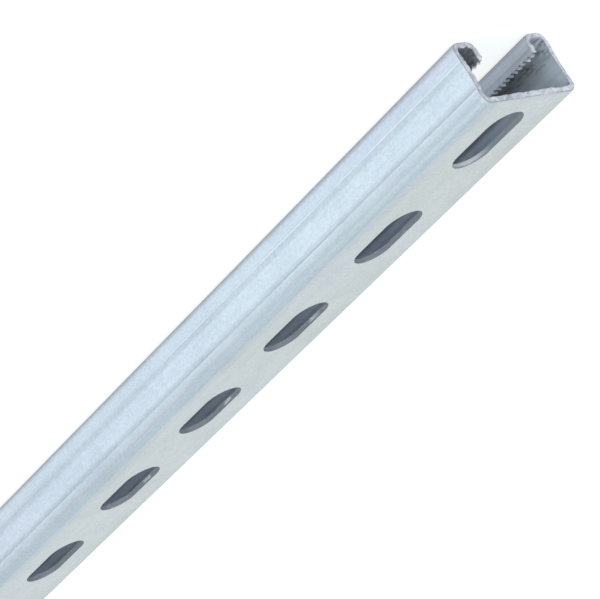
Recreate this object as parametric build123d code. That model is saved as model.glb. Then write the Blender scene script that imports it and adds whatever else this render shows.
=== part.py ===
from build123d import *

import os
from math import ceil

# Slotted strut channel: one length of cold roll-formed, pre-galvanised steel.
#
# Frame: +X runs along the length, +Y across the width and +Z up. The channel lies on its two
# lips with the slotted back uppermost. The origin is at the middle of the length and width, in
# the plane of the lips.

# Section (millimetres)
WIDTH = 41.3             # over the two side walls
HEIGHT = 20.6            # from the lips to the outer face of the back
SHEET = 1.8              # thickness of the strip, the same all round the section
BEND_INSIDE = 1.2        # inside radius of every bend
LIP_WIDTH = 9.5          # from a side wall's outer face to the gap between the lips
RETURN_DEPTH = 7.1       # from the lips' outer faces to the tips of the teeth inside the channel

# Shallow band pressed into each side wall
BAND_DEPTH = 0.35        # how far the band lies in from the wall
BAND_BOTTOM = 5.7        # height at which the lower shoulder starts
BAND_TOP = 15.8          # height at which the upper shoulder ends
SHOULDER = 1.4           # height of each sloping shoulder

# Length and slots
LENGTH = 1000.0
SLOT_LENGTH = 28.0
SLOT_WIDTH = 14.0
SLOT_PITCH = 50.0
FIRST_SLOT = 21.6        # from the sawn end at -X to the centre of the first slot

# Teeth rolled into the free edges of the returned lips
TOOTH_PITCH = 2.0
TOOTH_DEPTH = 0.9

BEND_OUTSIDE = BEND_INSIDE + SHEET
GAP = WIDTH - 2 * LIP_WIDTH


def half_outline():
    """Corners of the strip's outer face, from one lip's free edge to the middle of the back.

    Each entry is (distance from the centre plane, height, bend radius of the outer face).
    A corner that bends the other way round has the inside radius on this face. The free edge
    is left one tooth too deep, for the teeth to be cut from it.
    """
    wall = WIDTH / 2
    band = wall - BAND_DEPTH
    return [
        (GAP / 2, RETURN_DEPTH + TOOTH_DEPTH, None),
        (GAP / 2, 0, BEND_OUTSIDE),
        (wall, 0, BEND_OUTSIDE),
        (wall, BAND_BOTTOM, BEND_OUTSIDE),
        (band, BAND_BOTTOM + SHOULDER, BEND_INSIDE),
        (band, BAND_TOP - SHOULDER, BEND_INSIDE),
        (wall, BAND_TOP, BEND_OUTSIDE),
        (wall, HEIGHT, BEND_OUTSIDE),
    ]


def channel_section():
    """The rolled section as a face: its outer line, thickened inwards by the strip."""
    left = [(-y, z, radius) for y, z, radius in half_outline()]
    right = [(y, z, radius) for y, z, radius in reversed(half_outline())]
    corners = left + right
    points = [(y, z) for y, z, _ in corners]
    radii = [radius for _, _, radius in corners[1:-1]]
    outer = FilletPolyline(*points, radius=radii)
    strip = offset(outer, amount=SHEET, side=Side.RIGHT)
    return Plane.YZ * make_face(strip)


def slot_centres():
    """Places of the slots along the length, as many as fit whole."""
    start = -LENGTH / 2 + FIRST_SLOT
    room = LENGTH - FIRST_SLOT - SLOT_LENGTH / 2
    count = int(room // SLOT_PITCH) + 1
    return [start + index * SLOT_PITCH for index in range(count)]


def slot_punches():
    """One punch through the back for each slot."""
    outline = SlotOverall(SLOT_LENGTH, SLOT_WIDTH)
    punch = extrude(outline, amount=SHEET, both=True)
    return [Pos(x, 0, HEIGHT) * punch for x in slot_centres()]


def tooth_comb():
    """A toothed bar across both returns; what it takes away leaves the serrated edges."""
    root = RETURN_DEPTH - TOOTH_DEPTH
    top = RETURN_DEPTH + 2 * TOOTH_DEPTH
    first = -(LENGTH + TOOTH_PITCH / 2) / 2
    count = ceil(LENGTH / TOOTH_PITCH) + 1
    zigzag = [(first, RETURN_DEPTH)]
    for index in range(count):
        tip = first + index * TOOTH_PITCH
        zigzag += [(tip + TOOTH_PITCH / 2, root), (tip + TOOTH_PITCH, RETURN_DEPTH)]
    bar = Polyline(*zigzag, (zigzag[-1][0], top), (first, top), close=True)
    across = GAP / 2 + BEND_OUTSIDE
    return extrude(Plane.XZ * make_face(bar), amount=across, both=True)


def strut_channel():
    """The whole channel: rolled, punched and toothed."""
    blank = extrude(channel_section(), amount=LENGTH / 2, both=True)
    return blank - slot_punches() - tooth_comb()


os.makedirs("parts", exist_ok=True)
export_step(strut_channel(), "parts/strut_channel.step")
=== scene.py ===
import logging
import math
from dataclasses import dataclass, field, replace
from enum import Enum
from typing import Callable, Optional, Union

import bmesh
import bpy
from mathutils import Matrix, Vector

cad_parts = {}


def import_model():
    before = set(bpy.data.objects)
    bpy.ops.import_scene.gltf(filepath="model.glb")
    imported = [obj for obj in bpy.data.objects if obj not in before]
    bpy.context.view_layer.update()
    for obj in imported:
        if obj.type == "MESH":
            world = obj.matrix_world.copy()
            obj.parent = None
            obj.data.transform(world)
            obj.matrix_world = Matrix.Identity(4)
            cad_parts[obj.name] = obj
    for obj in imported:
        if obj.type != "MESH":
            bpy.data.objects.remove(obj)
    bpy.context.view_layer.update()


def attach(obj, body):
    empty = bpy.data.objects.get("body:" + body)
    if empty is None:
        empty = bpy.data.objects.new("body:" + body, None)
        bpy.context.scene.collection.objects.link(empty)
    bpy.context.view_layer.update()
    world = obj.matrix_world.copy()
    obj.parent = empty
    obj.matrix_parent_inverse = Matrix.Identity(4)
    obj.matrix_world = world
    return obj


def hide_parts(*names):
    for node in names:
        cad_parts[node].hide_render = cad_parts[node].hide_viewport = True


# A length of slotted strut channel: rolled and pre-galvanised steel strip, lying on its two lips
# with the slotted back uppermost. +X runs along the length, +Y across and +Z up. The channel's
# sizes are given in millimetres; everything that is built is in metres.

LOG = logging.getLogger("strut")
MM = 0.001
NODE = "strut_channel"
BODY = "root"
SLACK = 0.02 * MM       # two places closer than this are the same
MOSTLY = 0.9            # the share of a direction along an axis that makes it count as along it
HALF = 0.5              # the share below which it counts as across

Pair = tuple[float, float]
Point = tuple[float, float, float]
Colour = tuple[float, float, float]
Socket = bpy.types.NodeSocket
Value = Union[float, Socket]
Paint = Union[Colour, Socket]


class Surface(Enum):
    """The parts of the channel's surface that are finished differently, by material index."""

    SKIN = 0        # the rolled and galvanised faces
    INSIDE = 1      # the same strip's inner face
    PUNCHED = 2     # the walls of the slots
    SHEARED = 3     # the two cut ends
    BROKEN = 4      # the outline round each cut end, darkened as painted shade
    TOOTHED = 5     # the serrated free edges


# ---------------------------------------------------------------------------------------------
# Steps that every piece of modelling uses
# ---------------------------------------------------------------------------------------------

class Pick(Enum):
    """The kinds of a mesh's parts that can be selected."""

    VERTS = "VERT"
    EDGES = "EDGE"
    FACES = "FACE"


def begin(step: str) -> None:
    """Deselects everything, so that the next primitive is worked on alone, and logs the step."""
    bpy.ops.object.select_all(action="DESELECT")
    LOG.info("modelling %s", step)


def edit() -> None:
    """Goes into edit mode on the active piece."""
    bpy.ops.object.mode_set(mode="EDIT")


def leave_edit() -> None:
    """Goes back to object mode."""
    bpy.ops.object.mode_set(mode="OBJECT")


def select(kind: Pick, wanted: Callable) -> None:
    """Selects parts of the mesh that is being edited, by their place.

    Args:
        kind: what is selected.
        wanted: says of one vertex, edge or face whether it is.
    """
    bpy.ops.mesh.select_mode(type=kind.value)
    bpy.ops.mesh.select_all(action="DESELECT")
    mesh = bmesh.from_edit_mesh(bpy.context.object.data)
    parts = {Pick.VERTS: mesh.verts, Pick.EDGES: mesh.edges, Pick.FACES: mesh.faces}[kind]
    for part in [part for part in parts if wanted(part)]:
        part.select_set(True)
    mesh.select_flush_mode()
    bmesh.update_edit_mesh(bpy.context.object.data)


def near(value: float, target: float) -> bool:
    """Whether two places are the same within the slack."""
    return abs(value - target) < SLACK


def lies_along(edge: bmesh.types.BMEdge) -> bool:
    """Whether an edge runs along the channel."""
    run = edge.verts[1].co - edge.verts[0].co
    return abs(run.x) > MOSTLY * run.length


def apply_modifier(kind: str, **settings: object) -> None:
    """Adds a modifier to the active piece and applies it.

    Args:
        kind: the modifier's type.
        settings: its settings, by name.
    """
    modifier = bpy.context.object.modifiers.new(kind.lower(), kind)
    for name, value in settings.items():
        setattr(modifier, name, value)
    bpy.ops.object.modifier_apply(modifier=modifier.name)


@dataclass(frozen=True)
class Stray:
    """How far selected vertices are moved, in millimetres, each its own way."""

    offset: float
    seed: int

    def apply(self) -> None:
        """Moves the vertices that are selected."""
        bpy.ops.transform.vertex_random(
            offset=self.offset * MM, uniform=1.0, normal=0.0, seed=self.seed
        )


# ---------------------------------------------------------------------------------------------
# Shapes
# ---------------------------------------------------------------------------------------------

@dataclass(frozen=True)
class Shoulder:
    """One step of the band: its turn in degrees, and in millimetres what its bends take up."""

    angle: float
    outer: float        # taken from the wall by the bend there
    inner: float        # taken from the band
    slope: float        # straight left between the two bends


@dataclass
class Section:
    """The rolled section, as the outer face of the strip, in millimetres."""

    width: float = 41.3
    height: float = 20.6
    sheet: float = 1.8
    bend: float = 3.0               # outside radius of the four square bends
    step_bend: float = 1.5          # outside radius where a shoulder leaves the wall
    inside_bend: float = 1.2        # radius where the strip bends the other way
    gap: float = 22.3
    returns: float = 7.1            # from the lips to the tips of the teeth
    band_depth: float = 0.35
    band_bottom: float = 5.7
    band_top: float = 15.8
    upper_shoulder: float = 0.8     # the band's step below the back is the sharper one
    lower_shoulder: float = 2.0
    bend_steps: int = 8
    shoulder_steps: int = 3

    def flat_half(self) -> float:
        """Half the flat of the back, between its two bends."""
        return self.width / 2 - self.bend

    def shoulder_turn(self, height: float) -> Shoulder:
        """The step between the wall and its band.

        Args:
            height: of the step, in millimetres.

        Returns:
            The step's turn and runs.
        """
        angle = math.atan2(self.band_depth, height)
        outer = self.step_bend * math.tan(angle / 2)
        inner = self.inside_bend * math.tan(angle / 2)
        slope = math.hypot(self.band_depth, height) - outer - inner
        return Shoulder(math.degrees(angle), outer, inner, slope)


@dataclass
class StripEdge:
    """The free edge of the strip, led round the section by one run or bend after another.

    The edge is what is selected in edit mode. Its heading is 0 outwards, 90 down, 180 inwards and
    270 up, on either side of the channel.
    """

    side: int
    y: float
    z: float
    heading: float = 0.0

    def towards(self, heading: float) -> tuple[float, float]:
        """The unit step in y and z of a heading in degrees."""
        angle = math.radians(heading)
        return self.side * math.cos(angle), -math.sin(angle)

    def run(self, length: float) -> None:
        """Draws the strip straight on.

        Args:
            length: the run in millimetres.
        """
        y, z = self.towards(self.heading)
        step = (0, y * length * MM, z * length * MM)
        bpy.ops.mesh.extrude_region_move(TRANSFORM_OT_translate={"value": step})
        self.y += y * length
        self.z += z * length

    def turn(self, angle: float, radius: float, steps: int) -> None:
        """Bends the strip.

        Args:
            angle: degrees, positive towards the inside of the channel.
            radius: of the outer face, in millimetres.
            steps: faces round the bend.
        """
        hand = math.copysign(1, angle)
        inward = self.towards(self.heading + 90)
        centre = (self.y + hand * radius * inward[0], self.z + hand * radius * inward[1])
        bpy.ops.mesh.spin(
            steps=steps, angle=math.radians(abs(angle)),
            center=(0, centre[0] * MM, centre[1] * MM), axis=(self.side * hand, 0, 0),
        )
        self.heading += angle
        inward = self.towards(self.heading + 90)
        self.y = centre[0] - hand * radius * inward[0]
        self.z = centre[1] - hand * radius * inward[1]


@dataclass
class SlotRow:
    """The punched slots, and the module of the strip that holds each, in millimetres."""

    length: float = 28.0
    width: float = 14.0
    pitch: float = 50.0
    first: float = 21.6         # from the cut end at -X to the middle of the first slot
    arc_steps: int = 16         # round each half circle
    runs_along: int = 10        # along one module
    runs_across: int = 8        # across the flat of the back
    runs_out: int = 3           # from the slot out to the border of the flat
    roll_over: float = 0.12     # how far the punch draws the outer edge down
    roll_steps: int = 3
    burr: float = 0.2           # how far the inner edge is broken

    def radius(self) -> float:
        """The radius of the slots' ends."""
        return self.width / 2

    def straight_half(self) -> float:
        """Half the straight part of a slot's side."""
        return (self.length - self.width) / 2

    def modules(self, length: float) -> int:
        """How many modules it takes to cover a channel of some length."""
        return math.ceil((length - self.first) / self.pitch + 0.5)


@dataclass
class Teeth:
    """The serrations rolled into the free edges, in millimetres."""

    pitch: float = 2.0
    depth: float = 0.75         # on the side of the gap
    undercut: float = 0.5       # how much deeper the notches are on the inner side
    stem: float = 0.9           # strip left below the roots before the plain run starts
    worn: Stray = Stray(0.2, 5)


@dataclass
class CutEnd:
    """How the cut leaves the ends, in millimetres."""

    inset: float = 0.22         # the cut's edge lies this far inside the length
    crown: float = 0.13         # the cut face stands out this far from its edge
    margin: float = 0.22        # width of the broken edge
    collar: float = 1.0         # length of wall that is drawn in with it
    grain: float = 0.7          # longest edge left in the cut face
    shell: float = 0.1          # the inner edge is told from the outer one this far short of it
    torn_from: float = 0.5      # height at which the last lip that is cut begins to stray
    pinch: Point = (1.0, 0.995, 0.991)
    wander: Stray = Stray(0.22, 23)     # the inner edge
    torn: Stray = Stray(0.16, 29)       # the last lip that is cut
    uneven: Stray = Stray(0.07, 3)      # everything


@dataclass
class StrutChannel:
    """The channel: one module is modelled, repeated along the length and cut off square."""

    section: Section = field(default_factory=Section)
    slots: SlotRow = field(default_factory=SlotRow)
    teeth: Teeth = field(default_factory=Teeth)
    cut: CutEnd = field(default_factory=CutEnd)
    length: float = 1000.0
    smooth_below: float = 38.0      # degrees between faces that are shaded as one
    face_weight: int = 60           # how far large faces lead the shading
    piece: Optional[bpy.types.Object] = None

    def first_slot(self) -> float:
        """The place of the first slot's middle along X, in millimetres."""
        return self.slots.first - self.length / 2

    def slot_outline(self) -> bpy.types.Object:
        """One slot's outline in the plane of the back, as a ring of edges.

        Returns:
            The outline's object.
        """
        radius = self.slots.radius() * MM
        centre = self.slots.straight_half() * MM
        top = self.section.height * MM
        begin("slot outline")
        bpy.ops.mesh.primitive_circle_add(
            vertices=2 * self.slots.arc_steps, radius=radius, location=(-centre, 0, top)
        )
        outline = bpy.context.object
        bpy.ops.object.transform_apply()
        edit()
        select(Pick.VERTS, lambda v: v.co.x > -centre + SLACK)
        bpy.ops.mesh.delete(type="VERT")
        bpy.ops.mesh.select_all(action="SELECT")
        bpy.ops.mesh.duplicate()
        bpy.ops.transform.resize(value=(-1, 1, 1), center_override=(0, 0, top))
        for side in (-1, 1):
            select(Pick.VERTS, lambda v: near(v.co.y, side * radius))
            bpy.ops.mesh.edge_face_add()
            bpy.ops.mesh.subdivide(number_cuts=1)
        leave_edit()
        return outline

    def slotted_back(self) -> None:
        """The flat of the back of one module, with its slot. It is left as the active piece."""
        half_pitch = self.slots.pitch / 2 * MM
        flat = self.section.flat_half() * MM
        top = self.section.height * MM
        outline = self.slot_outline()
        begin("back")
        bpy.ops.mesh.primitive_plane_add(size=2, location=(0, 0, top))
        back = bpy.context.object
        bpy.ops.object.transform_apply()
        edit()
        bpy.ops.transform.resize(value=(half_pitch, flat, 1), center_override=(0, 0, top))
        bpy.ops.mesh.delete(type="ONLY_FACE")
        select(Pick.EDGES, lies_along)
        bpy.ops.mesh.subdivide(number_cuts=self.slots.runs_along - 1)
        select(Pick.EDGES, lambda e: not lies_along(e))
        bpy.ops.mesh.subdivide(number_cuts=self.slots.runs_across - 1)
        leave_edit()
        outline.select_set(True)
        bpy.context.view_layer.objects.active = back
        bpy.ops.object.join()
        edit()
        bpy.ops.mesh.select_mode(type="EDGE")
        bpy.ops.mesh.select_all(action="SELECT")
        bpy.ops.mesh.bridge_edge_loops(
            number_cuts=self.slots.runs_out - 1, interpolation="LINEAR"
        )
        leave_edit()

    def roll_side(self, side: int) -> None:
        """Rolls the strip of the module from the back's flat round to one free edge.

        Args:
            side: 1 for the wall at +Y, -1 for the one at -Y.
        """
        sec = self.section
        flat = sec.flat_half()
        upper = sec.shoulder_turn(sec.upper_shoulder)
        lower = sec.shoulder_turn(sec.lower_shoulder)
        band = sec.band_top - sec.upper_shoulder - sec.band_bottom - sec.lower_shoulder
        root = sec.returns - self.teeth.depth
        edit()
        select(Pick.EDGES, lambda e: all(near(v.co.y, side * flat * MM) for v in e.verts))
        strip = StripEdge(side, side * flat, sec.height)
        strip.turn(90, sec.bend, sec.bend_steps)
        strip.run(strip.z - sec.band_top - upper.outer)
        strip.turn(upper.angle, sec.step_bend, sec.shoulder_steps)
        strip.run(upper.slope)
        strip.turn(-upper.angle, sec.inside_bend, sec.shoulder_steps)
        strip.run(band - upper.inner - lower.inner)
        strip.turn(-lower.angle, sec.inside_bend, sec.shoulder_steps)
        strip.run(lower.slope)
        strip.turn(lower.angle, sec.step_bend, sec.shoulder_steps)
        strip.run(strip.z - sec.bend)
        strip.turn(90, sec.bend, sec.bend_steps)
        strip.run(sec.width / 2 - sec.gap / 2 - 2 * sec.bend)
        strip.turn(90, sec.bend, sec.bend_steps)
        strip.run(root - self.teeth.stem - strip.z)
        strip.run(self.teeth.stem)
        self.cut_teeth()
        leave_edit()

    def cut_teeth(self) -> None:
        """Divides the free edge, which is selected, and draws the teeth's tips up from it."""
        step = self.teeth.pitch / 2
        half = self.slots.pitch / 2
        cuts = round(self.slots.pitch / self.slots.runs_along / step) - 1
        bpy.ops.mesh.subdivide(number_cuts=cuts, ngon=True)
        mesh = bmesh.from_edit_mesh(bpy.context.object.data)
        for vert in mesh.verts:
            if vert.select:
                count = round((vert.co.x / MM + half) / step)
                vert.select_set(count % 2 == 1)
        mesh.select_flush(False)
        bmesh.update_edit_mesh(bpy.context.object.data)
        bpy.ops.transform.translate(value=(0, 0, self.teeth.depth * MM))

    def repeat(self) -> None:
        """Repeats the module along the channel, cuts both ends off and marks out the collars."""
        module = bpy.context.object
        module.location.x = self.first_slot() * MM
        bpy.ops.object.select_all(action="DESELECT")
        module.select_set(True)
        bpy.ops.object.transform_apply()
        apply_modifier(
            "ARRAY", count=self.slots.modules(self.length), use_relative_offset=False,
            use_constant_offset=True, constant_offset_displace=(self.slots.pitch * MM, 0, 0),
            use_merge_vertices=True, merge_threshold=SLACK,
        )
        edit()
        plane = self.cut_plane()
        collar = plane - self.cut.collar * MM
        bpy.ops.mesh.select_mode(type="FACE")
        for end in (-1, 1):
            for place, clear in ((plane, True), (collar, False)):
                bpy.ops.mesh.select_all(action="SELECT")
                bpy.ops.mesh.bisect(
                    plane_co=(end * place, 0, 0), plane_no=(end, 0, 0), clear_outer=clear
                )
        bpy.ops.mesh.select_all(action="SELECT")
        bpy.ops.mesh.normals_make_consistent(inside=False)
        leave_edit()

    def thicken(self) -> None:
        """Gives the strip its thickness, inwards from the outer face."""
        top = self.section.height * MM
        faces_up = any(
            face.normal.z > MOSTLY and near(face.center.z, top)
            for face in bpy.context.object.data.polygons
        )
        if not faces_up:
            edit()
            bpy.ops.mesh.select_all(action="SELECT")
            bpy.ops.mesh.flip_normals()
            leave_edit()
        apply_modifier(
            "SOLIDIFY", thickness=self.section.sheet * MM, offset=-1.0, use_even_offset=True,
            use_quality_normals=True, material_offset=Surface.INSIDE.value,
        )

    def in_slot(self, place: Vector) -> bool:
        """Whether a place lies within one of the slots, or on its walls.

        Args:
            place: in metres.

        Returns:
            True inside, at any height within the back.
        """
        pitch = self.slots.pitch * MM
        x = (place.x - self.first_slot() * MM + pitch / 2) % pitch - pitch / 2
        reach = math.hypot(max(abs(x) - self.slots.straight_half() * MM, 0), place.y)
        deep = place.z > (self.section.height - self.section.sheet) * MM - SLACK
        return deep and reach < self.slots.radius() * MM + SLACK

    def is_slot_edge(self, edge: bmesh.types.BMEdge, height: float) -> bool:
        """Whether an edge is part of a slot's rim at a height in millimetres."""
        return all(near(v.co.z, height * MM) and self.in_slot(v.co) for v in edge.verts)

    def undercut_teeth(self) -> None:
        """Draws the teeth's roots down on the strip's inner side, and wears every corner."""
        root = (self.section.returns - self.teeth.depth) * MM
        lowest = root - self.teeth.undercut * MM - SLACK
        highest = self.section.returns * MM + SLACK
        inner = (self.section.gap / 2 + self.section.sheet) * MM
        edit()
        select(Pick.VERTS, lambda v: near(v.co.z, root) and near(abs(v.co.y), inner))
        bpy.ops.transform.translate(value=(0, 0, -self.teeth.undercut * MM))
        select(Pick.VERTS, lambda v: lowest < v.co.z < highest and abs(v.co.y) < inner + SLACK)
        self.teeth.worn.apply()
        leave_edit()

    def break_slots(self) -> None:
        """Rolls the slots' outer edges over and breaks their inner edges."""
        top = self.section.height
        edit()
        select(Pick.EDGES, lambda e: self.is_slot_edge(e, top))
        bpy.ops.mesh.bevel(
            offset=self.slots.roll_over * MM, segments=self.slots.roll_steps, affect="EDGES"
        )
        select(Pick.EDGES, lambda e: self.is_slot_edge(e, top - self.section.sheet))
        bpy.ops.mesh.bevel(offset=self.slots.burr * MM, segments=1, affect="EDGES")
        leave_edit()

    def cut_plane(self) -> float:
        """Where the edge of the cut lies on X, in metres from the middle."""
        return (self.length / 2 - self.cut.inset) * MM

    def collar_middle(self) -> float:
        """Halfway along the collar, in metres from the middle. The cut face lies beyond it."""
        return self.cut_plane() - self.cut.collar / 2 * MM

    def divide_cut(self) -> None:
        """Halves every edge of the cut faces that is still longer than the cut's grain."""
        start = self.collar_middle()
        select(Pick.EDGES, lambda e: e.calc_length() > self.cut.grain * MM
               and all(abs(v.co.x) > start for v in e.verts))
        bpy.ops.mesh.subdivide(number_cuts=1, ngon=True)

    def stray(self, how: Stray, wanted: Callable[[Vector], bool]) -> None:
        """Moves the chosen vertices of the cut faces a little.

        Args:
            how: how far they move.
            wanted: says of a place in millimetres whether a vertex there moves.
        """
        start = self.collar_middle()
        select(Pick.VERTS, lambda v: abs(v.co.x) > start and wanted(v.co / MM))
        how.apply()

    def paint(self, surface: Surface) -> None:
        """Gives the selected faces to one of the surfaces."""
        self.piece.active_material_index = surface.value
        bpy.ops.object.material_slot_assign()

    def saw_ends(self) -> None:
        """Leaves both ends as they come from the cut: wavy inside, broken outside, crowned."""
        cut, sec = self.cut, self.section
        plane, start = self.cut_plane(), self.collar_middle()
        skin = sec.sheet - cut.shell
        wall = sec.width / 2 - skin
        torn_to = sec.returns + cut.torn_from
        edit()
        self.divide_cut()
        self.stray(cut.wander, lambda p: abs(p.y) < wall and skin < p.z < sec.height - skin)
        self.stray(cut.torn,
                   lambda p: p.x < 0 and -wall < p.y < 0 and cut.torn_from < p.z < torn_to)
        for end in (-1, 1):
            select(Pick.VERTS, lambda v: v.co.x * end > start)
            bpy.ops.transform.resize(value=(0, 1, 1), center_override=(end * plane, 0, 0))
            middle = (0, 0, sec.height / 2 * MM)
            bpy.ops.transform.resize(value=cut.pinch, center_override=middle)
        self.divide_cut()
        self.divide_cut()
        select(Pick.FACES, lambda f: all(abs(v.co.x) > start for v in f.verts))
        self.paint(Surface.BROKEN)
        bpy.ops.mesh.inset(thickness=cut.margin * MM, depth=0, use_even_offset=False)
        self.paint(Surface.SHEARED)
        crowned = (1 + cut.crown * MM / plane, 1, 1)
        bpy.ops.transform.resize(value=crowned, center_override=(0, 0, 0))
        self.stray(cut.uneven, lambda p: True)
        leave_edit()

    def sort_faces(self) -> None:
        """Gives the walls of the slots and the teeth to their surfaces."""
        sec = self.section
        root = (sec.returns - self.teeth.depth - self.teeth.undercut) * MM
        walls = sec.flat_half() * MM
        for face in self.piece.data.polygons:
            centre, normal = face.center, face.normal
            if abs(normal.z) < MOSTLY and self.in_slot(centre):
                face.material_index = Surface.PUNCHED.value
            elif (root < centre.z < sec.returns * MM and abs(centre.y) < walls
                    and abs(normal.y) < HALF):
                face.material_index = Surface.TOOTHED.value

    def dress(self) -> None:
        """Gives the channel its finishes, in the order of the surfaces."""
        finishes = (GalvanisedSkin(), InnerSkin(), PunchedWall(), TornMetal(), SHADED_BROKEN_EDGE,
                    ToothedEdge())
        for finish in finishes:
            self.piece.data.materials.append(finish.material())

    def build(self) -> bpy.types.Object:
        """Models the whole channel.

        Returns:
            The channel's object.
        """
        self.slotted_back()
        for side in (-1, 1):
            self.roll_side(side)
        self.repeat()
        self.piece = bpy.context.object
        self.piece.name = self.piece.data.name = "channel"
        self.dress()
        self.thicken()
        self.undercut_teeth()
        self.break_slots()
        self.sort_faces()
        self.saw_ends()
        bpy.ops.object.shade_smooth_by_angle(angle=math.radians(self.smooth_below))
        apply_modifier(
            "WEIGHTED_NORMAL", mode="FACE_AREA", weight=self.face_weight, keep_sharp=True
        )
        return self.piece


# ---------------------------------------------------------------------------------------------
# Laying out materials
# ---------------------------------------------------------------------------------------------

class Laid(Enum):
    """How one colour is laid on another, as the Mix node names it."""

    OVER = "MIX"
    TINT = "MULTIPLY"


class Pace(Enum):
    """How a value changes between two others, as the Map Range node names it."""

    EVEN = "LINEAR"
    SMOOTH = "SMOOTHSTEP"


def spaced(name: str) -> str:
    """A socket's name, from a word with _ for each space."""
    return name.replace("_", " ")


class Nodes:
    """A node tree being laid out, with a short call for each node that the finishes use."""

    def __init__(self, tree: bpy.types.NodeTree) -> None:
        """Starts on a tree."""
        self.tree = tree

    def add(self, kind: str, source: Optional[Socket] = None,
            **settings: object) -> bpy.types.Node:
        """A new node.

        Args:
            kind: its type without the ShaderNode prefix.
            source: what its first input is linked to, if anything.
            settings: its own settings, by name.

        Returns:
            The node.
        """
        node = self.tree.nodes.new("ShaderNode" + kind)
        for name, value in settings.items():
            setattr(node, name, value)
        if source is not None:
            self.tree.links.new(source, node.inputs[0])
        return node

    def feed(self, socket: Socket, value: Union[float, Paint]) -> None:
        """Links an input, or sets it.

        Args:
            socket: the input.
            value: another socket, a number or a colour.
        """
        if isinstance(value, bpy.types.NodeSocket):
            self.tree.links.new(value, socket)
        else:
            socket.default_value = (*value, 1.0) if isinstance(value, tuple) else value

    def math(self, operation: str, first: Value, second: Value = 0.0) -> Socket:
        """One sum on two values.

        Args:
            operation: as the Math node names it.
            first: a number or a socket.
            second: a number or a socket.

        Returns:
            The result's socket.
        """
        node = self.add("Math", operation=operation)
        self.feed(node.inputs[0], first)
        self.feed(node.inputs[1], second)
        return node.outputs[0]

    def times(self, product: Value, *others: Value) -> Value:
        """Values multiplied together.

        Args:
            product: the first of them.
            others: the rest.

        Returns:
            The product.
        """
        for other in others:
            product = self.math("MULTIPLY", product, other)
        return product

    def mixed(self, *shares: tuple[Socket, Value]) -> Value:
        """Several values added up.

        Args:
            shares: each value with its share.

        Returns:
            The sum.
        """
        total: Value = 0.0
        for value, share in shares:
            total = self.math("ADD", total, self.math("MULTIPLY", value, share))
        return total

    def swing(self, value: Socket, width: Value) -> Socket:
        """A pattern about 0.5 as a distance about 0: half the width either way."""
        return self.math("MULTIPLY", self.math("SUBTRACT", value, 0.5), width)

    def spread(self, value: Value, start: Value, end: Value, before: float = 0.0,
               after: float = 1.0, pace: Pace = Pace.SMOOTH) -> Socket:
        """A value's range stretched to another range.

        Args:
            value: what is stretched.
            start: where its range starts.
            end: where its range ends.
            before: the result up to the start.
            after: the result from the end on.
            pace: how the result changes between them.

        Returns:
            The result's socket.
        """
        node = self.add("MapRange", interpolation_type=pace.value)
        for index, number in enumerate((value, start, end, before, after)):
            self.feed(node.inputs[index], number)
        return node.outputs[0]

    def blend(self, amount: Value, first: Paint, second: Paint, laid: Laid = Laid.OVER) -> Socket:
        """One colour laid on another.

        Args:
            amount: of the second colour.
            first: a colour or a socket.
            second: a colour or a socket.
            laid: how the second goes on the first.

        Returns:
            The mixed colour's socket.
        """
        node = self.add("Mix", data_type="RGBA", blend_type=laid.value, clamp_factor=True)
        for index, value in ((0, amount), (6, first), (7, second)):
            self.feed(node.inputs[index], value)
        return node.outputs[2]

    def ramp(self, value: Socket, stops: tuple[Pair, ...]) -> Socket:
        """A grey that follows a value through some stops.

        Args:
            value: from 0 to 1.
            stops: places between 0 and 1, each with how light the grey is there.

        Returns:
            The grey's socket.
        """
        node = self.add("ValToRGB", value)
        elements = node.color_ramp.elements
        while len(elements) < len(stops):
            elements.new(0.5)
        for element, (place, grey) in zip(elements, stops):
            element.position = place
            element.color = (grey, grey, grey, 1.0)
        return node.outputs["Color"]

    def stretched(self, place: Socket, along: Value, across: Value) -> Socket:
        """A place scaled by different amounts along the channel and across it.

        Args:
            place: the place.
            along: multiplies X.
            across: multiplies Y and Z.

        Returns:
            The scaled place's socket.
        """
        factors = self.add("CombineXYZ")
        for index, factor in enumerate((along, across, across)):
            self.feed(factors.inputs[index], factor)
        product = self.add("VectorMath", place, operation="MULTIPLY")
        self.tree.links.new(factors.outputs[0], product.inputs[1])
        return product.outputs[0]

    def noise(self, place: Socket, fineness: Value, detail: float, rough: float = 0.5) -> Socket:
        """A cloudy pattern.

        Args:
            place: where it is read.
            fineness: lumps in a metre.
            detail: how many finer layers it has.
            rough: how strong they are.

        Returns:
            Its value's socket, about 0.5 on average.
        """
        node = self.add("TexNoise", place)
        for name, value in (("Scale", fineness), ("Detail", detail), ("Roughness", rough)):
            self.feed(node.inputs[name], value)
        return node.outputs[0]


# ---------------------------------------------------------------------------------------------
# Effects that the finishes share
# ---------------------------------------------------------------------------------------------

class Effect(Enum):
    """The effects that more than one finish uses, each a shader node group."""

    ROLLING = "rolling lines"
    MOTTLE = "zinc mottle"
    STRIPE = "roll mark"
    GRIT = "torn grain"


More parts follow.
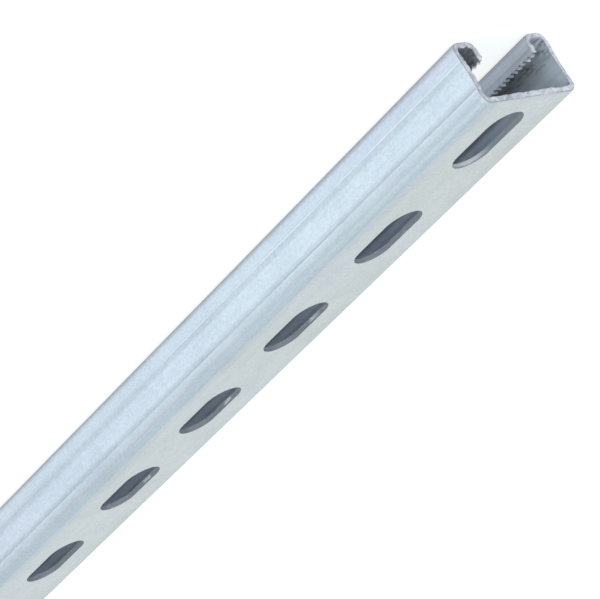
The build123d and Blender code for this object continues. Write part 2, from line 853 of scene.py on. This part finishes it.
class Group(Nodes):
    """An effect being laid out: a place and some numbers go in, and one value comes out."""

    def __init__(self, effect: Effect, output: str, **usual: float) -> None:
        """Starts the group.

        Args:
            effect: names the group.
            output: the name of the value that comes out.
            usual: the usual values of its numbers, by name with _ for a space.
        """
        super().__init__(bpy.data.node_groups.new(effect.value, "ShaderNodeTree"))
        sockets = self.tree.interface
        sockets.new_socket("Place", in_out="INPUT", socket_type="NodeSocketVector")
        for name, value in usual.items():
            name = spaced(name)
            number = sockets.new_socket(name, in_out="INPUT", socket_type="NodeSocketFloat")
            number.default_value = value
        sockets.new_socket(output, in_out="OUTPUT", socket_type="NodeSocketFloat")
        self.given = self.tree.nodes.new("NodeGroupInput").outputs
        self.result = self.tree.nodes.new("NodeGroupOutput").inputs[0]

    def finished(self, value: Socket) -> bpy.types.NodeTree:
        """The whole group, once its value is let out."""
        self.feed(self.result, value)
        return self.tree


def rolling_lines() -> bpy.types.NodeTree:
    """Fine lines that the rolls leave along the strip, 0 to 1.

    Returns:
        The group.
    """
    nodes = Group(Effect.ROLLING, "Lines", Lines=1200.0, Drift=5.0, Low=0.3, High=0.7)
    given = nodes.given
    drawn = nodes.stretched(given["Place"], given["Drift"], given["Lines"])
    value = nodes.noise(drawn, fineness=1.0, detail=3.0, rough=0.6)
    return nodes.finished(nodes.spread(value, given["Low"], given["High"], pace=Pace.EVEN))


def zinc_mottle() -> bpy.types.NodeTree:
    """Cloudy patches in the zinc, 0 to 1.

    Returns:
        The group.
    """
    nodes = Group(Effect.MOTTLE, "Patch", Patches=90.0, Low=0.35, High=0.65)
    given = nodes.given
    drawn = nodes.stretched(given["Place"], along=0.7, across=1.0)
    value = nodes.noise(drawn, given["Patches"], detail=4.0, rough=0.62)
    return nodes.finished(nodes.spread(value, given["Low"], given["High"], pace=Pace.EVEN))


def stripe_line() -> bpy.types.NodeTree:
    """A soft stripe at one height along the walls, broken up along its length, 0 to 1.

    Returns:
        The group.
    """
    nodes = Group(Effect.STRIPE, "Mark", Height=0.01, Half_Width=0.0005, Wander=0.0002,
                  Broken=0.5)
    given = nodes.given
    place = given["Place"]
    height = nodes.add("SeparateXYZ", place).outputs[2]
    waves = nodes.noise(nodes.stretched(place, along=1.0, across=0.1), fineness=25.0, detail=2.0)
    wavy = nodes.math("ADD", height, nodes.swing(waves, given["Wander"]))
    away = nodes.math("ABSOLUTE", nodes.math("SUBTRACT", wavy, given["Height"]))
    ratio = nodes.math("DIVIDE", away, given["Half Width"])
    stripe = nodes.spread(ratio, 0.2, 1.0, before=1.0, after=0.0)
    lumps = nodes.noise(nodes.stretched(place, along=1.0, across=0.2), fineness=60.0, detail=3.0)
    gaps = nodes.times(given["Broken"], nodes.spread(lumps, 0.35, 0.6))
    return nodes.finished(nodes.times(stripe, nodes.math("SUBTRACT", 1.0, gaps)))


def torn_grain() -> bpy.types.NodeTree:
    """The rough grain of metal that broke away under a blade or punch, 0 to 1.

    Returns:
        The group.
    """
    nodes = Group(Effect.GRIT, "Grain", Grains=2200.0, Strokes=600.0, Share=0.5)
    given = nodes.given
    grains = nodes.noise(given["Place"], given["Grains"], detail=3.0, rough=0.65)
    strokes = nodes.noise(given["Place"], given["Strokes"], detail=2.0, rough=0.6)
    rest = nodes.math("SUBTRACT", 1.0, given["Share"])
    total = nodes.mixed((grains, given["Share"]), (strokes, rest))
    return nodes.finished(nodes.spread(total, 0.3, 0.7))


MAKERS: dict[Effect, Callable[[], bpy.types.NodeTree]] = {
    Effect.ROLLING: rolling_lines,
    Effect.MOTTLE: zinc_mottle,
    Effect.STRIPE: stripe_line,
    Effect.GRIT: torn_grain,
}


# ---------------------------------------------------------------------------------------------
# Finishes
# ---------------------------------------------------------------------------------------------

class Guide(Enum):
    """What a mask can follow over the channel. Lengths are in millimetres."""

    ALONG = "along"         # from the middle of the length towards +X
    OUT = "out"             # from the middle of the length to either end
    ACROSS = "across"       # from the middle of the width towards +Y
    SIDE = "side"           # from the middle of the width to either wall
    HEIGHT = "height"       # up from the lips
    LEFT = "left"           # from the middle towards -Y, ragged
    RIGHT = "right"         # from the middle towards +Y, ragged
    RISE = "rise"           # up from the lips, and less towards the ends
    EDGE = "edge"           # up from the lips, ragged
    MODULE = "module"       # through one slot's module, 0 to 1
    CLOUD = "cloud"         # the zinc's cloudy pattern, 0 to 1
    PATCHES = "patches"     # a broader one
    BLOTCHES = "wear"           # the two mixed


@dataclass(frozen=True)
class Fade:
    """A mask's smooth change, while its guide goes from one value to another."""

    guide: Guide
    start: float
    end: float
    before: float = 0.0     # the mask up to the start
    after: float = 1.0      # the mask from the end on


Part = Union[Fade, Guide, Value]        # what masks are made of
ON_WALL = Fade(Guide.SIDE, 18.0, 19.0)
ON_BACK = Fade(Guide.HEIGHT, 18.6, 20.6)


@dataclass(frozen=True)
class Coat:
    """What is the same all over one finish."""

    name: str
    metal: float
    shows: float            # how much of its fine relief shows
    depth: float            # of the relief, in millimetres


class Canvas(Nodes):
    """One of the channel's materials being laid out, with the guides that its masks follow."""

    def __init__(self, coat: Coat) -> None:
        """Starts the material, with the guides that are plain distances.

        Args:
            coat: what is the same all over it.
        """
        self.coat = coat
        self.made = bpy.data.materials.new(coat.name)
        self.made.use_nodes = True
        super().__init__(self.made.node_tree)
        self.place = self.add("TexCoord").outputs["Object"]
        scaled = self.stretched(self.place, 1 / MM, 1 / MM)
        x, y, z = self.add("SeparateXYZ", scaled).outputs
        self.guides: dict[Guide, Socket] = {
            Guide.ALONG: x, Guide.OUT: self.math("ABSOLUTE", x),
            Guide.ACROSS: y, Guide.SIDE: self.math("ABSOLUTE", y),
            Guide.HEIGHT: z,
        }

    def effect(self, kind: Effect, **values: float) -> Socket:
        """One of the shared effects over the channel.

        Args:
            kind: which one. Its group is made the first time.
            values: its own numbers, by name with _ for a space.

        Returns:
            Its value's socket.
        """
        node = self.add("Group")
        node.node_tree = bpy.data.node_groups.get(kind.value) or MAKERS[kind]()
        self.feed(node.inputs["Place"], self.place)
        for name, value in values.items():
            self.feed(node.inputs[spaced(name)], value)
        return node.outputs[0]

    def part(self, part: Part) -> Value:
        """One part of a mask.

        Args:
            part: a fade along its guide, a guide that is the mask itself, or a ready value.

        Returns:
            Its value.
        """
        if isinstance(part, Fade):
            guide = self.guides[part.guide]
            return self.spread(guide, part.start, part.end, part.before, part.after)
        return self.guides[part] if isinstance(part, Guide) else part

    def mask(self, *parts: Part) -> Value:
        """The product of some parts."""
        return self.times(*[self.part(part) for part in parts])

    def finished(self, colour: Socket, rough: Value, pattern: Socket) -> bpy.types.Material:
        """The whole material, once what varies over it is laid out.

        Args:
            colour: its colour.
            rough: how rough it is.
            pattern: its fine relief, 0 to 1.

        Returns:
            The material.
        """
        bump = self.add("Bump")
        shader = self.tree.nodes["Principled BSDF"]
        for node, name, value in (
            (bump, "Strength", self.coat.shows), (bump, "Distance", self.coat.depth * MM),
            (bump, "Height", pattern), (shader, "Normal", bump.outputs["Normal"]),
            (shader, "Base Color", colour), (shader, "Metallic", self.coat.metal),
            (shader, "Roughness", rough),
        ):
            self.feed(node.inputs[name], value)
        return self.made


@dataclass(frozen=True)
class LineMark:
    """One soft line along the strip, in millimetres. The walls' lines are painted highlights and
    painted shade, the inner fold's is painted shade, and the returns' are lighter and darker
    lines.
    """

    height: float
    half_width: float
    wander: float
    broken: float               # share of it that comes and goes
    strength: float             # above 0 brighter than the zinc, below 0 darker
    inland: float = 1.0         # share of its strength that is left away from the ends
    ends_from: float = 380.0    # from the middle of the length, where it has its full strength
    inland_to: float = 300.0    # and where it has no more than its share

    def drawn(self, canvas: Canvas) -> Value:
        """The line as an amount from 0 to its strength.

        Args:
            canvas: the material's layout.

        Returns:
            The amount.
        """
        line = canvas.effect(
            Effect.STRIPE, Height=self.height * MM, Half_Width=self.half_width * MM,
            Wander=self.wander * MM, Broken=self.broken,
        )
        full = abs(self.strength)
        kept = Fade(Guide.OUT, self.ends_from, self.inland_to, full, full * self.inland)
        return canvas.mask(line, kept)


@dataclass(frozen=True)
class Tint:
    """A colour that multiplies the zinc over one zone."""

    colour: Colour
    zone: tuple[Part, ...]


@dataclass(frozen=True)
class GalvanisedSkin:
    """The rolled strip: satin zinc, grained and faintly clouded, with painted light and shade by
    height and along the walls, and lighter and darker lines on the returns.
    """

    coat: Coat = Coat("galvanised skin", metal=1.0, shows=0.2, depth=0.03)
    bright: Colour = (0.825, 0.89, 0.95)
    dull: Colour = (0.655, 0.73, 0.79)
    light_line: Colour = (0.93, 0.97, 1.0)          # the light lines: painted highlights on the walls, and lighter lines on the returns
    dark_line: Colour = (0.42, 0.46, 0.55)        # the dark lines: painted shade on the walls, and a darker line on the returns
    returned: Colour = (0.66, 0.67, 0.735)      # the returns within the gap: lilac, and darkened as painted shade
    rough: Pair = (0.42, 0.30)                  # of the dull zinc and of the bright
    patches: float = 28.0                       # in a metre
    ragged: float = 5.0                         # how far the patches move the tints' borders
    top: float = Section.height
    painted_shading: tuple[Pair, ...] = (                 # heights, and the painted light and shade of the steel there, darkest at the bends and the band's steps
        (0.0, 0.70), (1.4, 0.76), (2.6, 0.95), (5.3, 0.98), (5.9, 0.975), (6.6, 0.93),
        (7.6, 0.94), (8.6, 1.0), (13.2, 1.0), (14.4, 0.83), (15.0, 0.82), (15.9, 0.90),
        (16.6, 0.89), (17.6, 0.83), (18.6, 0.87), (19.1, 0.856), (19.6, 0.808), (20.4, 0.84),
        (20.6, 0.97),
    )
    on_return: tuple[Fade, ...] = (Fade(Guide.HEIGHT, 7.4, 7.1), Fade(Guide.SIDE, 14.5, 13.0))
    wear: tuple[Fade, ...] = (                  # how far the returns take that colour and its painted shade, in patches
        Fade(Guide.BLOTCHES, 0.25, 0.75, 1.0, 0.45), Fade(Guide.OUT, 486, 499, 1.0, 0.5),
    )
    tints: tuple[Tint, ...] = (
        # The back: its patches; painted cool shade along its bend at -Y, and painted shade along
        # its edge at +Y.
        Tint((1.0, 0.99, 0.94), (Guide.PATCHES, ON_BACK)),
        Tint((0.88, 0.93, 0.98), (Fade(Guide.LEFT, 13.0, 18.5), Fade(Guide.HEIGHT, 17.4, 19.8))),
        Tint((0.96, 0.955, 0.95), (Fade(Guide.RIGHT, 13.0, 18.0), ON_BACK)),
        # The walls: painted cool shade over the band's lower step, their patches, all but the
        # ends, and below the band.
        Tint((0.88, 0.93, 0.98), (ON_WALL, Fade(Guide.HEIGHT, 5.4, 6.4, 0.0, 0.42),
                                  Fade(Guide.HEIGHT, 8.6, 7.4))),
        Tint((1.0, 0.985, 1.0), (ON_WALL, Guide.PATCHES)),
        Tint((0.95, 0.925, 0.945), (ON_WALL, Fade(Guide.OUT, 420, 220),
                                    Fade(Guide.HEIGHT, 18.2, 16.8), Fade(Guide.HEIGHT, 4.2, 5.6))),
        Tint((1.0, 0.945, 0.98), (ON_WALL, Fade(Guide.OUT, 420, 475), Fade(Guide.HEIGHT, 5.6, 4.8),
                                  Fade(Guide.CLOUD, 0.0, 1.0, 0.55, 1.0))),
    )
    # On the walls: painted highlights and painted shade along the band's two steps, and painted
    # shade below the bend to the back.
    marks: tuple[LineMark, ...] = (
        LineMark(15.75, 0.30, 0.5, 0.8, 0.5),
        LineMark(14.95, 0.27, 0.4, 0.4, -0.62, 0.7),
        LineMark(5.95, 0.24, 0.5, 0.7, 0.72, 0.15),
        LineMark(5.45, 0.22, 0.5, 0.6, -0.22, 0.3),
        LineMark(6.5, 0.22, 0.5, 0.6, -0.22, 0.3),
        LineMark(17.8, 0.5, 0.8, 0.9, -0.2),
    )
    # On the returns: a darker line and two lighter ones.
    return_marks: tuple[LineMark, ...] = (
        LineMark(5.0, 0.6, 0.3, 0.4, -0.45),
        LineMark(6.0, 0.25, 0.2, 0.6, 0.3),
        LineMark(1.2, 0.5, 0.3, 0.5, 0.25),
    )

    def material(self) -> bpy.types.Material:
        """Lays out the zinc, then its painted shade by height, its tints, some of them painted
        shade, and its lines, painted highlights and shade on the walls.

        Returns:
            The material.
        """
        canvas = Canvas(self.coat)
        cloud = canvas.effect(Effect.MOTTLE)
        grain = canvas.effect(Effect.MOTTLE, Patches=1300.0, Low=0.38, High=0.62)
        patches = canvas.effect(Effect.MOTTLE, Patches=self.patches)
        tone = canvas.mixed((canvas.effect(Effect.ROLLING), 0.2), (cloud, 0.3), (grain, 0.5))
        guides, swing = canvas.guides, canvas.swing(patches, self.ragged)
        guides[Guide.CLOUD], guides[Guide.PATCHES] = cloud, patches
        guides[Guide.BLOTCHES] = canvas.mixed((patches, 0.4), (cloud, 0.6))
        guides[Guide.LEFT] = canvas.math("SUBTRACT", swing, guides[Guide.ACROSS])
        guides[Guide.RIGHT] = canvas.math("ADD", swing, guides[Guide.ACROSS])
        colour = canvas.blend(tone, self.dull, self.bright)
        on_return = canvas.mask(*self.on_return)
        colour = canvas.blend(canvas.mask(on_return, *self.wear), colour, self.returned)
        # Painted shade by height, over the lip bend, the band's steps and the bend to the back.
        shade = canvas.ramp(canvas.math("DIVIDE", guides[Guide.HEIGHT], self.top),
                            tuple((place / self.top, light) for place, light in self.painted_shading))
        colour = canvas.blend(1.0, colour, shade, Laid.TINT)
        for tint in self.tints:
            colour = canvas.blend(canvas.mask(*tint.zone), colour, tint.colour, Laid.TINT)
        # The lines: painted highlights and painted shade on the walls, lighter and darker lines on
        # the returns.
        for marks, where in ((self.marks, ON_WALL), (self.return_marks, on_return)):
            for mark in marks:
                line = self.light_line if mark.strength > 0 else self.dark_line
                colour = canvas.blend(canvas.mask(mark.drawn(canvas), where), colour, line)
        return canvas.finished(colour, canvas.spread(tone, 0.0, 1.0, *self.rough), tone)


@dataclass(frozen=True)
class InnerSkin:
    """The strip's inner face: the same zinc, dull, with dirt specks low down, and painted shade
    low down, behind one return, under the back and along the band's step.
    """

    coat: Coat = Coat("inner skin", metal=0.4, shows=0.25, depth=0.04)
    zinc: Colour = (0.90, 0.97, 1.0)
    dull: Colour = (0.66, 0.74, 0.90)
    clear: Colour = (0.57, 0.62, 0.66)                      # the zinc just inside the ends
    # The dirt specks' colour, also laid on as painted shade.
    dirt_and_shade: Colour = (0.10, 0.10, 0.105)
    rough: float = 0.5
    by_end: Fade = Fade(Guide.OUT, 470, 492, 0.0, 0.8)      # where the clear zinc begins
    at_end: Fade = Fade(Guide.OUT, 490, 499, 0.0, 0.7)      # and where it gives way again
    specks: Fade = Fade(Guide.HEIGHT, 11.8, 4.8, 0.0, 0.85)
    climbs: Fade = Fade(Guide.OUT, 380, 450, 0.0, 0.9)      # how much higher the painted shade low down reaches by the ends
    fold: LineMark = LineMark(13.7, 1.0, 0.3, 0.2, 0.31)    # the shade along the band's step
    fold_kept: Fade = Fade(Guide.OUT, 475, 445, 0.25, 1.0)
    painted_shade: tuple[tuple[Fade, ...], ...] = (     # painted shade: low down, behind one return and under the back
        (Fade(Guide.RISE, 9.7, 11.7, 0.56, 0.0), Fade(Guide.OUT, 498, 478)),
        (Fade(Guide.ACROSS, -8.0, -11.0), Fade(Guide.OUT, 485, 496, 0.0, 0.6)),
        (Fade(Guide.HEIGHT, 16.6, 18.6, 0.0, 0.4), Fade(Guide.OUT, 465, 480)),
    )

    def material(self) -> bpy.types.Material:
        """Lays out the dull zinc, its dirt specks and its painted shade.

        Returns:
            The material.
        """
        canvas = Canvas(self.coat)
        cloud = canvas.effect(Effect.MOTTLE, Patches=240.0)
        tone = canvas.mixed((canvas.effect(Effect.ROLLING), 0.4), (cloud, 0.6))
        specks = canvas.effect(Effect.ROLLING, Lines=900.0, Drift=340.0, Low=0.45, High=0.7)
        height, climbs = canvas.guides[Guide.HEIGHT], canvas.part(self.climbs)
        canvas.guides[Guide.RISE] = canvas.math("SUBTRACT", height, climbs)
        base = canvas.blend(tone, self.dull, self.zinc)
        colour = canvas.blend(canvas.part(self.by_end), base, self.clear)
        colour = canvas.blend(canvas.part(self.at_end), colour, base)
        fold = (self.fold.drawn(canvas), self.fold_kept)
        # Painted shade in the zones and along the fold, then the dirt specks.
        for zone in (*self.painted_shade, fold, (specks, self.specks)):
            colour = canvas.blend(canvas.mask(*zone), colour, self.dirt_and_shade)
        return canvas.finished(colour, self.rough, tone)


@dataclass(frozen=True)
class PunchedWall:
    """A slot's wall: burnished by the punch at the top, torn and darker below, with painted
    highlights.
    """

    coat: Coat = Coat("punched wall", metal=0.5, shows=0.4, depth=0.08)
    burnished: Colour = (0.42, 0.445, 0.48)
    torn: Colour = (0.37, 0.392, 0.43)
    # The painted highlights' colour.
    bright_spots: Colour = (0.97, 0.97, 1.0)
    rough: Pair = (0.6, 0.4)        # torn and burnished
    grained: float = 1.25           # times as light as torn, at the grain's brightest
    ragged: float = 0.3             # how far the grain moves the zones' borders
    burnish: Fade = Fade(Guide.EDGE, 19.8, 20.0)
    glint_flecks: float = 0.3             # how clear these painted glints are
    pitch: float = SlotRow.pitch
    first: float = SlotRow.first - StrutChannel.length / 2      # the first slot's middle
    lit_end_wall: tuple[Fade, ...] = (     # painted light on the inland end of each outermost slot, whose wall faces the channel's end
        Fade(Guide.OUT, 474, 467, 0.0, 0.6), Fade(Guide.OUT, 455, 460),
        Fade(Guide.EDGE, 20.3, 20.0),
    )
    slot_glints: tuple[Fade, ...] = (         # painted highlights at +Y, by the middles of three slots near either end
        Fade(Guide.MODULE, 0.40, 0.43), Fade(Guide.MODULE, 0.52, 0.475),
        Fade(Guide.OUT, 410, 380, 0.0, 0.9), Fade(Guide.OUT, 245, 260),
        Fade(Guide.EDGE, 20.2, 19.8), Fade(Guide.ACROSS, 0.0, 2.0),
    )

    def material(self) -> bpy.types.Material:
        """Lays out the two bands of the wall, and its painted highlights.

        Returns:
            The material.
        """
        canvas = Canvas(self.coat)
        grain = canvas.effect(Effect.GRIT)
        guides, swing = canvas.guides, canvas.swing(grain, self.ragged)
        modules = canvas.math("DIVIDE", guides[Guide.ALONG], self.pitch)
        modules = canvas.math("ADD", modules, 0.5 - self.first / self.pitch)
        guides[Guide.EDGE] = canvas.math("ADD", guides[Guide.HEIGHT], swing)
        guides[Guide.MODULE] = canvas.math("FRACT", modules)
        glint_flecks = canvas.effect(Effect.MOTTLE, Patches=170.0, Low=0.62, High=0.68)
        lumps = canvas.effect(Effect.MOTTLE, Patches=420.0, Low=0.38, High=0.55)
        # Painted highlights: the lit end walls, the glint flecks and the glints by the slots'
        # middles.
        bright_spots = canvas.mask(*self.lit_end_wall)
        for zone in ((glint_flecks, self.glint_flecks), (lumps, *self.slot_glints)):
            bright_spots = canvas.math("MAXIMUM", bright_spots, canvas.mask(*zone))
        burnished = canvas.part(self.burnish)
        torn = canvas.blend(grain, self.torn, tuple(self.grained * part for part in self.torn))
        colour = canvas.blend(burnished, torn, self.burnished)
        colour = canvas.blend(bright_spots, colour, self.bright_spots)
        return canvas.finished(colour, canvas.spread(burnished, 0.0, 1.0, *self.rough), grain)


@dataclass(frozen=True)
class TornMetal:
    """Bare steel left by the cut, grey and streaked."""

    coat: Coat = Coat("sheared end", metal=0.4, shows=0.5, depth=0.1)
    bare: Colour = (0.93, 0.93, 0.99)
    dark: Colour = (0.36, 0.36, 0.42)
    rough: Pair = (0.6, 0.42)       # in the grain's dark places and in its bright ones
    bright_spots: float = 150.0            # bright stretches in a metre

    def material(self) -> bpy.types.Material:
        """Lays out the torn grain and its bright stretches.

        Returns:
            The material.
        """
        canvas = Canvas(self.coat)
        grain = canvas.effect(Effect.GRIT, Grains=2600.0, Strokes=700.0, Share=0.3)
        bright_spots = canvas.effect(Effect.MOTTLE, Patches=self.bright_spots)
        tone = canvas.mixed((grain, 0.55), (bright_spots, 0.45))
        colour = canvas.blend(tone, self.dark, self.bare)
        return canvas.finished(colour, canvas.spread(grain, 0.0, 1.0, *self.rough), grain)


# A darker copy of the cut's metal: painted shade along the outline round each cut end.
SHADED_BROKEN_EDGE = TornMetal(
    replace(TornMetal.coat, name="broken edge"), bare=(0.53, 0.53, 0.59), dark=(0.26, 0.26, 0.30)
)


@dataclass(frozen=True)
class ToothedEdge:
    """The serrated free edges: a painted highlight at the tips, painted shade down in the notches.
    """

    coat: Coat = Coat("toothed edge", metal=0.3, shows=0.3, depth=0.05)
    # Painted highlight at the tips, and painted shade in the notches.
    bright: Colour = (0.95, 0.95, 0.97)
    dark: Colour = (0.03, 0.03, 0.035)
    rough: float = 0.45
    rise: Fade = Fade(Guide.HEIGHT, 6.2, 7.2)       # from the roots to the tips

    def material(self) -> bpy.types.Material:
        """Lays out the change from painted shade at the roots to a painted highlight at the tips.

        Returns:
            The material.
        """
        canvas = Canvas(self.coat)
        grain = canvas.effect(Effect.GRIT)
        tone = canvas.mixed((canvas.part(self.rise), 0.75), (grain, 0.25))
        return canvas.finished(canvas.blend(tone, self.dark, self.bright), self.rough, grain)


# ---------------------------------------------------------------------------------------------
# The studio
# ---------------------------------------------------------------------------------------------

@dataclass(frozen=True)
class SoftBox:
    """A square soft light, pointed at the near end of the channel."""

    name: str
    place: Point
    size: float
    power: float
    tint: Colour


@dataclass(frozen=True)
class Studio:
    """A plain white floor, a pale room, soft lights and the camera. Places are in metres."""

    floor_half: float = 6.0
    floor_paint: Colour = (0.69, 0.745, 0.785)
    floor_glow: float = 0.80            # of the floor's white, to the camera and through glass
    floor_glint: float = 0.24           # of it, in the metal
    plain_share: float = 0.40           # of the paint, to the camera
    white: Colour = (1.0, 1.0, 1.0)
    room: Colour = (0.785, 0.795, 0.775)
    aim: Point = (-0.3981, -0.0139, 0.0206)
    camera_place: Point = (-0.9427, -0.6211, 0.2668)
    camera_roll: float = 150.03         # degrees
    lens: float = 170.5
    sensor: float = 36.0
    clip_from: float = 0.01
    boxes: tuple[SoftBox, ...] = (
        SoftBox("overhead", (0.5, -0.3, 2.4), 4.5, 9.0, (0.45, 0.78, 1.0)),
        SoftBox("side", (-0.9, -1.0, 1.0), 3.4, 17.0, (0.88, 0.96, 1.0)),
    )

    def placed(self, data: bpy.types.ID, place: Point, roll: float = 0.0) -> bpy.types.Object:
        """Stands a light or camera so that it looks at what the camera is aimed at.

        Args:
            data: the light or camera.
            place: where it is.
            roll: its turn about the line of sight, in degrees.

        Returns:
            Its object.
        """
        stand = bpy.data.objects.new(data.name, data)
        bpy.context.scene.collection.objects.link(stand)
        start = Vector(place)
        turn = (Vector(self.aim) - start).to_track_quat("-Z", "Y").to_matrix().to_4x4()
        rolled = Matrix.Rotation(math.radians(roll), 4, "Z")
        stand.matrix_world = Matrix.Translation(start) @ turn @ rolled
        return stand

    def floor_material(self) -> bpy.types.Material:
        """A white floor: it takes the shadow, and shows white to the camera and in the metal.

        Returns:
            The material.
        """
        made = bpy.data.materials.new("white floor")
        made.use_nodes = True
        tree = made.node_tree
        tree.nodes.remove(tree.nodes["Principled BSDF"])
        nodes = Nodes(tree)
        seen = nodes.add("LightPath").outputs
        straight = nodes.math("MAXIMUM", seen["Is Camera Ray"], seen["Is Transmission Ray"])
        plain = tuple(self.plain_share * value for value in self.floor_paint)
        paint = nodes.add("BsdfDiffuse")
        nodes.feed(paint.inputs["Color"], nodes.blend(straight, self.floor_paint, plain))
        glow = nodes.add("Emission")
        nodes.feed(glow.inputs["Color"], self.white)
        shown = nodes.mixed((straight, self.floor_glow), (seen["Is Glossy Ray"], self.floor_glint))
        nodes.feed(glow.inputs["Strength"], shown)
        both = nodes.add("AddShader", paint.outputs[0])
        tree.links.new(glow.outputs[0], both.inputs[1])
        tree.links.new(both.outputs[0], tree.nodes["Material Output"].inputs["Surface"])
        return made

    def build(self) -> None:
        """Sets out the floor, the room, the lights and the camera."""
        scene = bpy.context.scene
        scene.view_settings.view_transform = "Standard"
        begin("floor")
        bpy.ops.mesh.primitive_plane_add(size=2 * self.floor_half, location=(0, 0, 0))
        floor = bpy.context.object
        floor.name = "floor"
        floor.data.materials.append(self.floor_material())
        world = scene.world or bpy.data.worlds.new("room")
        scene.world = world
        world.use_nodes = True
        world.node_tree.nodes["Background"].inputs["Color"].default_value = (*self.room, 1.0)
        for box in self.boxes:
            lamp = bpy.data.lights.new(box.name, "AREA")
            lamp.shape = "SQUARE"
            lamp.size = box.size
            lamp.energy = box.power
            lamp.color = box.tint
            self.placed(lamp, box.place)
        eye = bpy.data.cameras.new("camera")
        eye.lens = self.lens
        eye.sensor_width = self.sensor
        eye.sensor_fit = "HORIZONTAL"
        eye.clip_start = self.clip_from
        scene.camera = self.placed(eye, self.camera_place, self.camera_roll)


def main() -> None:
    """Builds the channel and its studio, and ties the channel to the frame."""
    logging.basicConfig(level=logging.INFO, format="%(message)s")
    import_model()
    piece = StrutChannel().build()
    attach(piece, BODY)
    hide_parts(NODE)
    mesh = piece.data
    LOG.info("%s: %d vertices, %d faces", piece.name, len(mesh.vertices), len(mesh.polygons))
    Studio().build()


if __name__ == "__main__":
    main()
